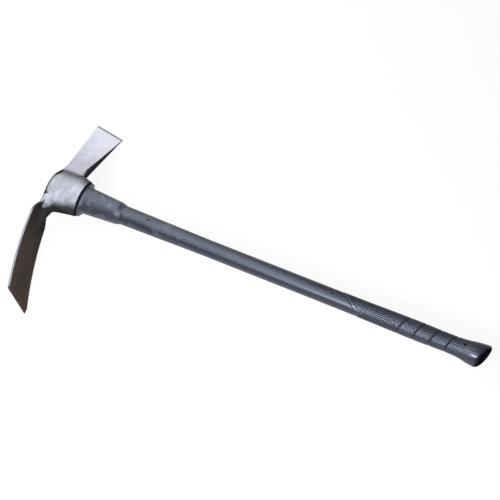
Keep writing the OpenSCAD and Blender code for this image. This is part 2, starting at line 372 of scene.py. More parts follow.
@dataclass(frozen=True)
class ForgedSteel:
    """Satin forged steel with dark scale inside the adze; painted shade on the eye's underside, top and by
    the axe's root, on faces turned towards the handle, towards the adze's root and along the axe's edge;
    painted light on the axe's upward faces.

    The spans from neck_dull on are places in metres, between which a layer comes in. The axe is at plus Y.
    """

    name: str = "forged_steel"
    satin: Colour = (0.38, 0.39, 0.45)
    pale: Colour = (0.47, 0.48, 0.54)
    dull: Colour = (0.26, 0.27, 0.31)
    scale: Colour = (0.041, 0.034, 0.030)
    rusty: Colour = (0.056, 0.043, 0.036)
    # Near black painted shade for the eye, the axe and the adze's root.
    painted_shade: Colour = (0.018, 0.018, 0.019)
    # Dark painted shade along the axe's cutting edge.
    edge_shade: Colour = (0.10, 0.10, 0.11)
    faces_up: Span = (0.6, 0.9)
    inner_shares: Span = (0.72, 0.9)
    outer_shares: Span = (0.28, 0.12)
    neck_dull: Span = (-0.030, -0.042)
    # Where painted shade darkens the adze's faces turned towards the handle.
    neck_shade: Span = (-0.038, -0.046)
    # Where the axe's upward faces are painted paler as painted light.
    axe_painted_light: Span = (0.045, 0.16)
    axe_root: Span = (0.034, 0.044)
    axe_root_end: Span = (0.10, 0.05)
    axe_flat: Span = (0.038, 0.052)
    axe_side: Span = (0.045, 0.06)
    # Where the painted shade along the axe's edge comes in.
    axe_edge_shade: Span = (0.0040, 0.0030)
    adze_flat: Span = (-0.05, -0.06)
    adze_inside: Span = (-0.050, -0.058)
    # These two say where the crust turns to near black painted shade: fully on the eye's side, growing
    # towards the adze's root.
    shade_by_eye: Span = (-0.062, -0.050)
    adze_root_shade: Span = (-0.14, -0.062)
    eye_by_adze: Span = (-0.055, -0.045)
    eye_by_axe: Span = (0.045, 0.038)
    # Where painted shade falls on the eye by the axe's root.
    eye_corner_shade: Span = (0.050, 0.042)
    # Where painted shade darkens the eye's top rim.
    eye_top_shade: Span = (0.0045, 0.0026)

    def material(self, axe: "AxeBlade", adze: "AdzeBlade") -> bpy.types.Material:
        """Makes the material.

        Args:
            axe: The blade along whose edge shade is painted.
            adze: The blade whose inner side keeps its scale.

        Returns:
            The finished material.
        """
        sheet = SteelSheet(self.name)
        left = self.dark_share(sheet, adze)
        return sheet.output(sheet.layered(left, self.clean(sheet, axe), self.crust(sheet)))

    def clean(self, sheet: SteelSheet, axe: "AxeBlade") -> Wire:
        """The clean steel: mottled, paler on the axe's upward faces as painted light, duller at the blades'
        roots, with painted shade along the axe's edge.

        Args:
            sheet: The material's sheet.
            axe: The blade along whose edge shade is painted.

        Returns:
            The shader.
        """
        y, clouds, specks = sheet.y, sheet.clouds, sheet.specks
        level = sheet.up.rise(self.faces_up)
        skin = sheet.mix(clouds.ramp(0.36, 0.64), self.dull, self.satin)
        skin = sheet.mix(specks.ramp(0.44, 0.64) * 0.45, skin, self.pale)
        skin = sheet.mix(0.85 * y.rise(self.neck_dull), skin, self.dull)
        # Paler on the axe's upward faces, more so towards the tip: painted light.
        skin = sheet.mix(level * y.rise(self.axe_painted_light) * (0.8 + 0.2 * clouds), skin, self.pale)
        skin = sheet.mix(0.6 * y.rise(self.axe_root_end) * y.rise(self.axe_root), skin, self.dull)
        flat = level * (y.rise(self.axe_flat) + y.rise(self.adze_flat))
        lean = math.tan(axe.turn)
        edge_at = (axe.reach + axe.edge_drop * lean) * MM
        # A dark band along the axe's cutting edge: painted shade.
        edge = (y + sheet.x * lean).rise(self.axe_edge_shade, -1.0, edge_at)
        return sheet.principled({
            "Base Color": sheet.mix(edge, skin, self.edge_shade),
            "Metallic": 0.2 * (1.0 - flat),
            "Roughness": 0.42 + 0.12 * clouds + 0.06 * specks + 0.1 * flat,
            "Specular IOR Level": 0.3,
            "Normal": sheet.grain,
        })

    def crust(self, sheet: SteelSheet) -> Wire:
        """The dark crust: scale on the adze, and near black painted shade on the eye, on the axe and towards
        the adze's root.

        Args:
            sheet: The material's sheet.

        Returns:
            The shader.
        """
        burnt = sheet.mix(sheet.blotches.ramp(0.35, 0.65), self.scale, self.rusty)
        # Near black on the eye and the axe, and darker towards the adze's root: painted shade.
        shade_share = sheet.y.rise(self.shade_by_eye) + 0.8 * sheet.y.rise(self.adze_root_shade)
        return sheet.principled({
            "Base Color": sheet.mix(shade_share.at_most(1.0), burnt, self.painted_shade),
            "Roughness": 0.75 + 0.2 * sheet.specks,
            "Specular IOR Level": 0.0,
            "Normal": sheet.grain,
        })

    def dark_share(self, sheet: SteelSheet, adze: "AdzeBlade") -> Wire:
        """Shows where the dark crust lies: scale on the adze, and painted shade on the eye's underside, top
        and rim, by the axe's root and on faces turned towards the handle.

        Args:
            sheet: The material's sheet.
            adze: The blade whose inner side keeps its scale.

        Returns:
            1 under the full crust and 0 on clean steel.
        """
        y, side, facing = sheet.y, sheet.side, sheet.facing
        ragged = sheet.clouds - 0.5
        on_eye = y.rise(self.eye_by_adze) * y.rise(self.eye_by_axe)
        # Darker on the eye's underside, on its top face and along its top rim: painted shade.
        under = (side + 0.3 * ragged).ramp(-0.22, -0.74) + facing.ramp(-0.12, -0.4)
        under = under + sheet.x.rise(self.eye_top_shade)
        # Darker on the eye by the axe's root: painted shade.
        corner = 0.8 * (side + 0.2 * ragged).ramp(0.05, 0.62) * y.rise(self.eye_corner_shade)
        # Half dark on the adze's faces turned towards the handle: painted shade.
        neck = 0.5 * y.rise(self.neck_shade) * facing.ramp(0.0, 0.4)
        # Dark on faces turned towards the handle, such as the axe's wedge side and the eye's end: painted
        # shade, lying over the scale on the adze's inner face.
        turned_from_light = (facing + 0.25 * y.rise(self.axe_side)).ramp(0.52, 0.80)
        inner = self.adze_scale(sheet, adze)
        return (turned_from_light + 0.95 * on_eye * under + corner + neck + inner).at_most(1.0)

    def adze_scale(self, sheet: SteelSheet, adze: "AdzeBlade") -> Wire:
        """Shows the scale on the adze's inner face, and a darker strip along its upper side next to the
        outer face.

        Args:
            sheet: The material's sheet.
            adze: The blade.

        Returns:
            1 where it is fully dark and 0 elsewhere.
        """
        thick = adze.thick * MM
        out = -1.0 * sheet.y - adze.cheek * MM
        slope = math.tan(math.radians(adze.root_angle)) + out / (2 * adze.bend_r * MM)
        depth = sheet.x - (adze.root_drop * MM + out * slope)
        inner = depth.rise(self.inner_shares, thick)
        # A darker strip along the adze's upper side, next to its outer face.
        outer = depth.rise(self.outer_shares, thick) * sheet.up.ramp(0.1, 0.4)
        return (inner + outer) * sheet.y.rise(self.adze_inside)


def locating_holes(sheet: ShaderSheet, line: "HandleLine") -> Wire:
    """Shows where the locating holes are.

    Args:
        sheet: The material's sheet.
        line: The handle.

    Returns:
        1 in the holes and 0 elsewhere.
    """
    x, y, z = sheet.parts(sheet.place())
    lean, radius = math.radians(line.pin_hole_angle), line.pin_hole_d / 2 * MM
    across = y * math.cos(lean) - z * math.sin(lean)
    along, *others = [(x - place * MM).size() for place in line.pin_holes]
    for other in others:
        along = along.at_most(other)
    rim = ((share * radius) ** 2 for share in line.pin_hole_rim_shares)
    return (along * along + across * across).ramp(*rim)


@dataclass(frozen=True)
class MouldedPlastic:
    """Satin moulded plastic with a fine pebble, pale scuffs and rubs along the handle, in metres, and near
    black painted shade in the locating holes.
    """

    name: str
    shade: Colour
    scuff: Colour
    scuffed_from: float
    scuffed_to: float
    scuffs: float
    scuffs_come: float = 0.02
    scuffs_go: float = 0.03
    # Near black painted shade for the locating holes.
    hole_shade: Colour = (0.004, 0.004, 0.005)
    sheen: Colour = (0.74, 0.84, 1.0)
    gloss: float = 0.29
    pebble: float = 1500.0

    def material(self, line: "HandleLine") -> bpy.types.Material:
        """Makes the material.

        Args:
            line: The handle, with the locating holes.

        Returns:
            The finished material.
        """
        sheet = ShaderSheet(self.name)
        where = sheet.place()
        x, _, _ = sheet.parts(where)
        pebble = sheet.noise(where, self.pebble, 2.0)
        clouds = sheet.noise(where, 34.0, 3.0)
        patches = sheet.noise(where, 90.0, 5.0, 0.6)
        streaks = sheet.noise(sheet.stretched(where, (30.0, 260.0, 260.0)), 1.0, 3.0, 0.6)
        worn = x.ramp(self.scuffed_from, self.scuffed_from + self.scuffs_come)
        worn = worn * x.ramp(self.scuffed_to, self.scuffed_to - self.scuffs_go)
        marks = patches.ramp(0.42, 0.72) * clouds.ramp(0.40, 0.60) * worn * self.scuffs
        rubs = streaks.ramp(0.58, 0.76) * clouds.ramp(0.45, 0.65) * 0.15
        skin = sheet.mix((marks + rubs).at_most(1.0), self.shade, self.scuff)
        # The locating holes are painted near black: painted shade.
        holes = locating_holes(sheet, line)
        return sheet.output(sheet.principled({
            "Base Color": sheet.mix(holes, skin, self.hole_shade),
            "Roughness": self.gloss + 0.10 * clouds + 0.06 * pebble + 0.12 * marks + 0.6 * holes,
            "Specular IOR Level": 0.6,
            "Specular Tint": (*self.sheen, 1.0),
            "Normal": sheet.bump(pebble + 0.5 * patches, 0.00012, 0.2),
        }))


@dataclass(frozen=True)
class ButtRubber:
    """The dull, slightly rough rubber of the butt's end, darker than the grip as painted shade; the grip
    also lays it as painted shade between its dots, in its grooves and in its holes.
    """

    shade: Colour = (0.006, 0.006, 0.010)
    dusty: Colour = (0.014, 0.014, 0.019)

    def shader(self, sheet: ShaderSheet) -> Wire:
        """Adds the rubber to a sheet.

        Args:
            sheet: The material's sheet.

        Returns:
            The shader.
        """
        where = sheet.place()
        dust = sheet.noise(where, 130.0, 4.0)
        pebble = sheet.noise(where, 900.0, 2.0)
        return sheet.principled({
            "Base Color": sheet.mix(dust.ramp(0.45, 0.7), self.shade, self.dusty),
            "Roughness": 0.72 + 0.2 * dust,
            "Specular IOR Level": 0.0,
            "Normal": sheet.bump(pebble, 0.0002, 0.5),
        })


@dataclass(frozen=True)
class GripRubber:
    """Soft black grip rubber: glossy and painted lighter as a painted highlight on its knurl's dots and
    smooth start, and dull and darker as painted shade between the dots, in grooves and holes and at the
    butt.

    Shares are of a dot's room, a groove's width or the room between grooves. The start and the butt are in
    millimetres from the grip's ends, and softer is in metres along the handle.
    """

    end: ButtRubber
    name: str = "grip_rubber"
    shade: Colour = (0.014, 0.016, 0.022)
    # The lighter colour of the dots and the smooth start is a painted highlight.
    dot: Colour = (0.024, 0.028, 0.042)
    sheen: Colour = (0.72, 0.81, 1.0)
    dot_shares: Span = (0.44, 0.37)
    groove_shares: Span = (0.55, 0.35)
    last_shares: Span = (1.0, 0.9)
    first_shares: Span = (0.6, 0.7)
    start: Span = (7.0, 4.0)
    butt: Span = (9.0, 6.0)
    # How far the butt's surface turns towards the end where its painted shade comes in.
    butt_facing: Span = (0.35, 0.92)
    softer: Span = (0.72, 0.77)

    def material(self, grip: "KnurledGrip") -> bpy.types.Material:
        """Makes the material.

        Args:
            grip: The grip, with the places of its knurl and grooves.

        Returns:
            The finished material.
        """
        sheet, line = ShaderSheet(self.name), grip.line
        where = sheet.place()
        x, y, _ = sheet.parts(where)
        dust = sheet.noise(where, 60.0, 4.0)
        skin = sheet.noise(where, 2200.0, 2.0)
        # The grooves and locating holes get the darker rubber as painted shade.
        dark = (self.grooves(sheet, grip) + locating_holes(sheet, line)).at_most(1.0)
        start = (x - y * line.start_lean).rise(self.start, MM, line.grip_start * MM)
        # The dots and the smooth start are glossy, and painted lighter as a painted highlight.
        gloss_and_highlight = (self.dots(sheet, grip) + start).at_most(1.0) * (1.0 - dark)
        rubber = sheet.principled({
            "Base Color": sheet.mix(gloss_and_highlight * (0.6 + 0.4 * dust), self.shade, self.dot),
            "Roughness": 0.48 - 0.24 * gloss_and_highlight + 0.4 * dark + 0.05 * dust + 0.05 * skin,
            "Specular IOR Level": 1.0,
            "Specular Tint": (*self.sheen, 1.0),
            "Normal": sheet.bump(skin, 0.00006, 0.4),
        })
        # Between the dots, in the grooves and holes and on the butt's end, the darker dull rubber is laid: a
        # dull finish, and painted shade.
        gap_shade = 0.84 - 0.3 * x.rise(self.softer)
        dull_and_shade = (self.butt_share(sheet, grip) + dark + gap_shade * (1.0 - gloss_and_highlight)).at_most(1.0)
        return sheet.output(sheet.layered(dull_and_shade, rubber, self.end.shader(sheet)))

    @staticmethod
    def along(sheet: ShaderSheet, grip: "KnurledGrip") -> Wire:
        """Distance from the groove next to the butt, in metres along the handle."""
        x, y, _ = sheet.parts(sheet.place())
        return x - y * grip.groove_lean - grip.last_groove * MM

    def dots(self, sheet: ShaderSheet, grip: "KnurledGrip") -> Wire:
        """Shows the knurl's dots.

        Args:
            sheet: The material's sheet.
            grip: The grip.

        Returns:
            1 on the dots and 0 between them.
        """
        _, y, z = sheet.parts(sheet.place())
        a = (self.along(sheet, grip) / (grip.knurl_pitch * MM)).part() - 0.5
        b = (z.turn_from(y) * (grip.knurl_round / (2 * math.pi))).part() - 0.5
        return (a * a + b * b).ramp(*(share ** 2 for share in self.dot_shares))

    def grooves(self, sheet: ShaderSheet, grip: "KnurledGrip") -> Wire:
        """Shows the slanted grooves.

        Args:
            sheet: The material's sheet.
            grip: The grip.

        Returns:
            1 in the grooves and 0 elsewhere.
        """
        along = self.along(sheet, grip)
        step, width = grip.groove_pitch * MM, grip.groove_w * MM
        off = ((along / step + 0.5).part() - 0.5).size() * step
        lines = off.rise(self.groove_shares, width)
        lines = lines * along.rise(self.last_shares, width)
        return lines * along.rise(self.first_shares, step, -grip.groove_count * step)

    def butt_share(self, sheet: ShaderSheet, grip: "KnurledGrip") -> Wire:
        """Shows the butt's end, more fully where its surface turns towards the end: painted shade.

        Args:
            sheet: The material's sheet.
            grip: The grip.

        Returns:
            1 on the slanted end and 0 on the grip's sides.
        """
        slant = math.radians(grip.butt_slant)
        x, y, _ = sheet.parts(sheet.place())
        out_x, out_y, _ = sheet.normal()
        turned = (out_x * math.cos(slant) - out_y * math.sin(slant)).rise(self.butt_facing)
        return turned * (x - y * grip.butt_lean).rise(self.butt, -MM, grip.line.tool_length * MM)


@dataclass(frozen=True)
class CutFibre:
    """Sawn glass-fibre rod or set resin, with the ends of its strands showing."""

    name: str
    resin: Colour
    strand: Colour
    gloss: float

    def material(self) -> bpy.types.Material:
        """Makes the material.

        Returns:
            The finished material.
        """
        sheet = ShaderSheet(self.name)
        where = sheet.stretched(sheet.place(), (60.0, 1700.0, 1700.0))
        strands = sheet.noise(where, 1.0, 2.0, 0.7)
        tint = sheet.noise(sheet.place(), 90.0, 3.0)
        return sheet.output(sheet.principled({
            "Base Color": sheet.mix(strands.ramp(0.4, 0.65) * (0.5 + 0.5 * tint), self.resin, self.strand),
            "Roughness": self.gloss + 0.2 * strands,
            "Normal": sheet.bump(strands, 0.0001, 0.5),
        }))


def put(name: str, data: bpy.types.ID) -> bpy.types.Object:
    """Makes an object of some data and links it into the scene."""
    made = bpy.data.objects.new(name, data)
    bpy.context.scene.collection.objects.link(made)
    return made


class RingSkin:
    """A closed skin through rings of points: with two poles a ball, and without them a hoop."""

    def __init__(self, rings: Sequence[Array], poles: Optional[Tuple[Array, Array]] = None) -> None:
        """Keeps the rings.

        Args:
            rings: Rings of the same number of points each, in millimetres.
            poles: Points that close the first and the last ring.
        """
        self.rings = list(rings)
        self.poles = poles

    def mesh(self) -> Tuple[Array, Faces]:
        """Joins the rings.

        Returns:
            Points in millimetres, and faces.
        """
        count, sides = len(self.rings), len(self.rings[0])
        points = np.concatenate(self.rings)
        spans = count - 1 if self.poles else count
        i, j = np.meshgrid(np.arange(spans), np.arange(sides), indexing="ij")
        near, far, turn = i * sides, ((i + 1) % count) * sides, (j + 1) % sides
        quads = np.stack([near + j, near + turn, far + turn, far + j], axis=-1).reshape(-1, 4)
        faces: Faces = [tuple(q) for q in quads.tolist()]
        if self.poles:
            first, last = count * sides, count * sides + 1
            tail = (count - 1) * sides
            points = np.concatenate([points, np.array(self.poles)])
            faces += [(first, (k + 1) % sides, k) for k in range(sides)]
            faces += [(last, tail + k, tail + (k + 1) % sides) for k in range(sides)]
        return points, faces


class FieldSkin:
    """A closed skin where a field is zero, drawn cell by cell and then pulled onto the zero."""

    CORNERS: Tuple[Tuple[int, int, int], ...] = tuple(product((0, 1), repeat=3))
    TURNS: Tuple[Tuple[int, int, int], ...] = ((0, 1, 2), (1, 2, 0), (2, 0, 1))
    PULLS = 3
    NUDGE = 0.05
    LEAST_SLOPE = 0.25
    LONGEST_PULL_SHARE = 0.4

    def __init__(self, shape: Field, low: Sequence[float], high: Sequence[float], step: float) -> None:
        """Keeps the field and its box.

        Args:
            shape: The field, below zero inside.
            low: Lowest corner of the box, in millimetres.
            high: Highest corner.
            step: Size of a cell.
        """
        self.shape = shape
        self.step = step
        self.low = np.array(low)
        self.ticks = [np.arange(a, b + step, step) for a, b in zip(low, high)]

    def mesh(self) -> Tuple[Array, Faces]:
        """Draws the skin.

        Returns:
            Points in millimetres, and faces.
        """
        x, y, z = self.ticks
        values = self.shape(x[:, None, None], y[None, :, None], z[None, None, :])
        inside = values < 0.0
        filled = sum(self._corner(inside, c).astype(np.int8) for c in self.CORNERS)
        cells = np.nonzero((filled > 0) & (filled < len(self.CORNERS)))
        numbers = np.full(filled.shape, -1)
        numbers[cells] = np.arange(len(cells[0]))
        points = self._settle(self._crossings(values, cells))
        return points, self._quads(inside, numbers)

    @staticmethod
    def _corner(values: Array, corner: Tuple[int, int, int]) -> Array:
        """The values at one corner of every cell."""
        a, b, c = values.shape
        i, j, k = corner
        return values[i:a - 1 + i, j:b - 1 + j, k:c - 1 + k]

    def _crossings(self, values: Array, cells: Tuple[Array, ...]) -> Array:
        """Finds the mean of the places where the field crosses zero on each cell's edges.

        Args:
            values: The field on the grid.
            cells: Numbers of the cells that the skin passes through, along each axis.

        Returns:
            One point for each cell, in millimetres.
        """
        total = np.zeros((len(cells[0]), 3))
        count = np.zeros((len(cells[0]), 1))
        for one, two in product(self.CORNERS, repeat=2):
            if sum(two) - sum(one) != 1 or any(b < a for a, b in zip(one, two)):
                continue
            first, second = (self._corner(values, c)[cells] for c in (one, two))
            cut = (first < 0.0) != (second < 0.0)
            share = np.where(cut, first / np.where(cut, first - second, 1.0), 0.0)[:, None]
            place = np.array(one) + share * (np.array(two) - np.array(one))
            total += np.where(cut[:, None], place, 0.0)
            count += cut[:, None]
        return self.low + self.step * (np.stack(cells, axis=1) + total / count)

    def _settle(self, points: Array) -> Array:
        """Moves the points onto the field's zero.

        Args:
            points: Points near the zero, in millimetres.

        Returns:
            The moved points.
        """
        longest = self.LONGEST_PULL_SHARE * self.step
        for _ in range(self.PULLS):
            here = self.shape(*points.T)
            there = [self.shape(*(points + self.NUDGE * side).T) for side in np.eye(3)]
            slope = np.stack([(value - here) / self.NUDGE for value in there], axis=1)
            size = np.maximum((slope * slope).sum(axis=1, keepdims=True), self.LEAST_SLOPE)
            points = points - np.clip(here[:, None] * slope / size, -longest, longest)
        return points

    def _quads(self, inside: Array, numbers: Array) -> Faces:
        """Lays one face around each grid edge that the skin crosses.

        Args:
            inside: Which points of the grid are inside.
            numbers: Number of the point in each cell.

        Returns:
            The faces.
        """
        quads = []
        for turn in self.TURNS:
            solid, cell = inside.transpose(turn), numbers.transpose(turn)
            i, j, k = np.nonzero(solid[:-1, 1:-1, 1:-1] != solid[1:, 1:-1, 1:-1])
            j, k = j + 1, k + 1
            around = [cell[i, j - 1, k - 1], cell[i, j, k - 1], cell[i, j, k], cell[i, j - 1, k]]
            face = np.stack(around, axis=1)
            quads.append(np.where(solid[i, j, k][:, None], face, face[:, ::-1]))
        return [tuple(q) for q in np.concatenate(quads).tolist()]


class Slot(Enum):
    """The record's material slots that the pieces take."""

    STEEL = "forged_steel"
    COLLAR = "collar_plastic"
    JACKET = "jacket_plastic"
    GRIP = "grip_rubber"


@dataclass(frozen=True)
class Piece:
    """A piece of the part: its name, the solid that it replaces, and its material slot."""

    name: str
    stands_for: str
    slot: Slot

    def write(self, skin: Tuple[Array, Faces], material: bpy.types.Material) -> bpy.types.Object:
        """Makes the piece.

        Args:
            skin: Points in millimetres, and faces.
            material: Its finish.

        Returns:
            The new object.
        """
        points, faces = skin
        mesh = bpy.data.meshes.new(self.name)
        mesh.from_pydata((points * MM).tolist(), [], faces)
        mesh.validate()
        mesh.polygons.foreach_set("use_smooth", [True] * len(mesh.polygons))
        mesh.materials.append(material)
        mesh.update()
        piece = put(self.name, mesh)
        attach(piece, BODY)
        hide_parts(self.stands_for)
        return piece


def dress(node: str, material: bpy.types.Material) -> bpy.types.Object:
    """Gives a solid of the frame its finish.

    Args:
        node: Name of the solid.
        material: Its finish.

    Returns:
        The solid's object.
    """
    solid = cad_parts[node]
    for slot in solid.material_slots:
        slot.material = material
    return solid


@dataclass
class TaperedEye:
    """The head's eye and its tapered oval hole, in millimetres."""

    length: float = 72.5
    top_w: float = 68.0
    top_t: float = 48.4
    rim_w: float = 78.0
    rim_t: float = 51.0
    wall: float = 6.5
    bond: float = 0.8
    axe_cheek: float = 44.0
    adze_cheek: float = 50.5
    rim_round: float = 2.2
    axe_cheek_from: float = 0.2
    axe_cheek_to: float = 0.72
    adze_cheek_at: float = 0.2

    def half_w(self, x: Array) -> Array:
        """Half length of the plain oval at x."""
        return between(self.top_w, self.rim_w, x / self.length) / 2

    def half_t(self, x: Array) -> Array:
        """Half thickness of the oval at x."""
        return between(self.top_t, self.rim_t, x / self.length) / 2

    def axe_side(self, x: Array) -> Array:
        """Reach of the outside towards the axe at x."""
        start, end = self.axe_cheek_from * self.length, self.axe_cheek_to * self.length
        rise = np.minimum(ease(x / start), ease((self.length - x) / (self.length - end)))
        return between(self.half_w(x), self.axe_cheek, rise)

    def adze_side(self, x: Array) -> Array:
        """Reach of the outside towards the adze at x."""
        full = self.adze_cheek_at * self.length
        rise = np.where(x < full, ease(x / full), np.clip((self.length - x) / (self.length - full), 0, 1))
        return between(self.half_w(x), self.adze_cheek, rise)

    @staticmethod
    def oval(y: Array, z: Array, half_w: Array, half_t: Array) -> Array:
        """Distance from an oval across the handle, near enough at its outline.

        Args:
            y: Places along Y.
            z: Places along Z.
            half_w: Half length of the oval.
            half_t: Half thickness of the oval.

        Returns:
            The distance, below zero inside.
        """
        share = np.hypot(y / half_w, z / half_t)
        slope = np.maximum(np.hypot(y / half_w ** 2, z / half_t ** 2), TINY)
        return share * (share - 1.0) / slope

    def body(self, x: Array, y: Array, z: Array) -> Array:
        """Field of the eye without its hole."""
        half_w = np.where(y > 0, self.axe_side(x), self.adze_side(x))
        ends = np.maximum(-x, x - self.length)
        return smooth_max(self.oval(y, z, half_w, self.half_t(x)), ends, self.rim_round)

    def hole(self, x: Array, y: Array, z: Array) -> Array:
        """Field of the tapered hole."""
        return self.oval(y, z, self.half_w(x) - self.wall, self.half_t(x) - self.wall)

    def tang(self, x: float) -> Tuple[float, float]:
        """Half length and half thickness of what fills the hole at x."""
        inset = self.wall + self.bond
        return self.half_w(x) - inset, self.half_t(x) - inset


@dataclass
class AxeBlade:
    """The blade whose edge runs along the handle, in millimetres and degrees."""

    root_y: float = 34.6
    root_w: float = 39.0
    root_drop: float = 10.0
    root_t: float = 25.0
    inner_y: float = 22.0
    reach: float = 153.0
    edge_w: float = 64.0
    edge_angle: float = 9.7
    edge_drop: float = 51.5
    edge_t: float = 2.0
    edge_slope: float = 0.55
    taper: float = 1.1
    spread: float = 6.0
    spread_share: float = 0.2
    shoulder: float = 5.2
    shoulder_rise: float = 4.0
    shoulder_taper: float = 0.9
    shoulder_round: float = 0.8
    grip_slope: float = 0.3
    side_round: float = 1.0
    corner: float = 1.3

    @property
    def turn(self) -> float:
        """Angle between the edge and the handle, in radians."""
        return math.radians(self.edge_angle)

    @property
    def half_edge(self) -> Tuple[float, float]:
        """Half of the edge along X and along Y."""
        return math.cos(self.turn) * self.edge_w / 2, math.sin(self.turn) * self.edge_w / 2

    def outline(self, x: Array, y: Array) -> Tuple[Array, Array]:
        """Distances from the blade's two narrow sides.

        Args:
            x: Places along X.
            y: Places along Y.

        Returns:
            Distance past the top side, and past the side towards the grip.
        """
        half_x, half_y = self.half_edge
        near = (y - self.root_y) / (self.reach + half_y - self.root_y)
        far = (y - self.root_y) / (self.reach - half_y - self.root_y)
        flare = self.spread * np.clip(1.0 - np.maximum(near, 0.0) / self.spread_share, 0.0, 1.0) ** 2
        top = between(self.root_drop, self.edge_drop - half_x, near) - flare - x
        grip = x - between(self.root_drop + self.root_w, self.edge_drop + half_x, far)
        return top, grip

    def field(self, x: Array, y: Array, z: Array) -> Array:
        """Field of the blade, with a slanted shoulder forged along its grip side.

        Args:
            x: Places along X.
            y: Places along Y.
            z: Places along Z.

        Returns:
            About the distance from the blade, below zero inside.
        """
        edge_y = self.reach - (x - self.edge_drop) * math.tan(self.turn)
        from_edge = (edge_y - y) * math.cos(self.turn)
        back = np.clip(1.0 - (y - self.root_y) / (edge_y - self.root_y), 0.0, 1.0)
        thick = between(self.edge_t, self.root_t, back ** self.taper)
        thick = np.minimum(thick, self.edge_t / 2 + np.maximum(from_edge, 0.0) * self.edge_slope)
        faces = np.abs(z) - thick / 2
        top, grip = self.outline(x, y)
        sides = smooth_max(top, grip / math.hypot(1.0, self.grip_slope), self.side_round)
        blade = smooth_max(faces, sides, self.corner)
        cut = self.shoulder * self.shoulder_rise * back ** self.shoulder_taper
        slant = grip * self.shoulder_rise + faces * self.shoulder + cut
        slant = slant / math.hypot(self.shoulder, self.shoulder_rise)
        blade = smooth_max(blade, slant, self.shoulder_round)
        return np.maximum(blade, np.maximum(-from_edge, self.inner_y - y))


@dataclass
class AdzeBlade:
    """The blade whose edge runs across the handle, with its rib, in millimetres and degrees."""

    cheek: float
    inner: float = 26.0
    neck_w: float = 42.0
    shoulder: float = 80.0
    shoulder_w: float = 92.0
    reach: float = 244.0
    edge_w: float = 123.5
    edge_t: float = 1.4
    bevel: float = 10.0
    thick: float = 5.1
    side_slope: float = 0.1
    corner: float = 1.4
    root_drop: float = 4.0
    root_angle: float = 8.0
    bend_r: float = 720.0
    rib_r: float = 18.5
    rib_tip_r: float = 1.6
    rib_reach: float = 101.0
    rib_round: float = 1.0
    rib_blend: float = 5.0

    @property
    def neck(self) -> float:
        """Where the blade begins to widen, a thickness inside the eye's cheek."""
        return self.cheek - self.thick

    def half_w(self, reach: Array) -> Array:
        """Half width at a distance from the handle's axis.

        Args:
            reach: Distances from the handle's axis.

        Returns:
            The half widths.
        """
        rise = np.sin(np.radians(90.0) * np.clip((reach - self.neck) / (self.shoulder - self.neck), 0, 1))
        root = between(self.neck_w, self.shoulder_w, rise)
        blade = between(self.shoulder_w, self.edge_w, (reach - self.shoulder) / (self.reach - self.shoulder))
        return np.where(reach < self.shoulder, root, blade) / 2

    def drop(self, reach: Array) -> Array:
        """Drop of the outer face at a distance from the handle's axis."""
        out = np.maximum(reach - self.cheek, 0.0)
        return self.root_drop + out * (math.tan(math.radians(self.root_angle)) + out / self.bend_r / 2)

    def lean(self, reach: Array) -> Array:
        """Cosine of the outer face's slope at a distance from the handle's axis."""
        out = np.maximum(reach - self.cheek, 0.0)
        slope = np.where(out > 0, math.tan(math.radians(self.root_angle)) + out / self.bend_r, 0.0)
        return 1.0 / np.hypot(1.0, slope)

    def rib(self, reach: Array, depth: Array, z: Array) -> Array:
        """Field of the rib that tapers from the eye into the inner face.

        Args:
            reach: Distances from the handle's axis.
            depth: Depths below the outer face.
            z: Places along Z.

        Returns:
            About the distance from the rib, below zero inside.
        """
        along = np.clip((reach - self.cheek) / (self.rib_reach - self.cheek), 0, 1)
        radius = between(self.rib_r, self.rib_tip_r, along)
        fade = np.maximum(reach - self.rib_reach, 0.0)
        return smooth_max(np.hypot(depth - self.thick / 2, z) - radius + fade, -depth, self.rib_round)

    def field(self, x: Array, y: Array, z: Array) -> Array:
        """Field of the blade and its rib.

        Args:
            x: Places along X.
            y: Places along Y.
            z: Places along Z.

        Returns:
            About the distance from the blade, below zero inside.
        """
        reach = -y
        depth = (x - self.drop(reach)) * self.lean(reach)
        thick = between(self.edge_t, self.thick, np.clip((self.reach - reach) / self.bevel, 0, 1))
        faces = np.maximum(-depth, depth - thick)
        sides = (np.abs(z) - self.half_w(reach)) / math.hypot(1.0, self.side_slope)
        blade = smooth_max(faces, sides, self.corner)
        whole = smooth_min(blade, self.rib(reach, depth, z), self.rib_blend)
        return np.maximum(whole, np.maximum(reach - self.reach, self.inner - reach))


@dataclass
class ForgedHead:
    """The one-piece forging: eye, axe blade and adze blade, in millimetres."""

    eye: TaperedEye
    axe: AxeBlade
    adze: AdzeBlade
    finish: ForgedSteel
    piece: Piece = Piece("forged_head", "mattock_head", Slot.STEEL)
    fillet: float = 4.0
    neck_fillet: float = 7.0
    hole_round: float = 0.8
    cell: float = 1.1
    low_margin: float = 2.3
    high_margin: float = 3.0

    def field(self, x: Array, y: Array, z: Array) -> Array:
        """Field of the whole forging.

        Args:
            x: Places along X.
            y: Places along Y.
            z: Places along Z.

        Returns:
            About the distance from the forging, below zero inside.
        """
        solid = smooth_min(self.eye.body(x, y, z), self.axe.field(x, y, z), self.fillet)
        solid = smooth_min(solid, self.adze.field(x, y, z), self.neck_fillet)
        solid = np.maximum(solid, -x)
        return smooth_max(solid, -self.eye.hole(x, y, z), self.hole_round)

    def build(self) -> bpy.types.Object:
        """Makes the forging.

        Returns:
            The piece.
        """
        axe, adze = self.axe, self.adze
        first = (0.0, -adze.reach, -adze.edge_w / 2)
        last = (axe.edge_drop + axe.edge_w / 2, axe.reach + axe.half_edge[1], adze.edge_w / 2)
        low = [place - self.low_margin for place in first]
        high = [place + self.high_margin for place in last]
        skin = FieldSkin(self.field, low, high, self.cell).mesh()
        return self.piece.write(skin, self.finish.material(axe, adze))


